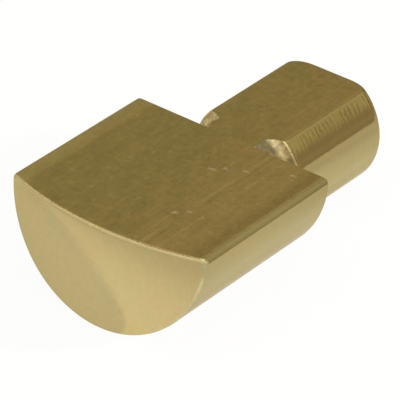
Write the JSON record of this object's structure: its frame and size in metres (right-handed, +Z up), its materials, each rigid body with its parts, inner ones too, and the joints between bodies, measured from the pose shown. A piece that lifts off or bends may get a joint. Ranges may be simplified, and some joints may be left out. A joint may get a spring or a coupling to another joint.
{
  "type": "shelf support pin",
  "caption": "Brass shelf support: a half-round head with a flat top that carries the shelf, and a round pin with a relief neck that plugs into a hole in the cabinet side.",
  "frame": {"origin": "on the flat top, midway across it, where the shoulder meets the cabinet side", "axes": "+Z up, out of the flat that carries the shelf; +Y along the pin, into the cabinet side; +X across the head"},
  "size_m": [0.009, 0.0137, 0.0043],
  "materials": {
    "brass": "plain drawn and turned brass, unlacquered, slightly dulled on the flat"
  },
  "bodies": {
    "root": {"support_pin": "brass"}
  },
  "joints": []
}
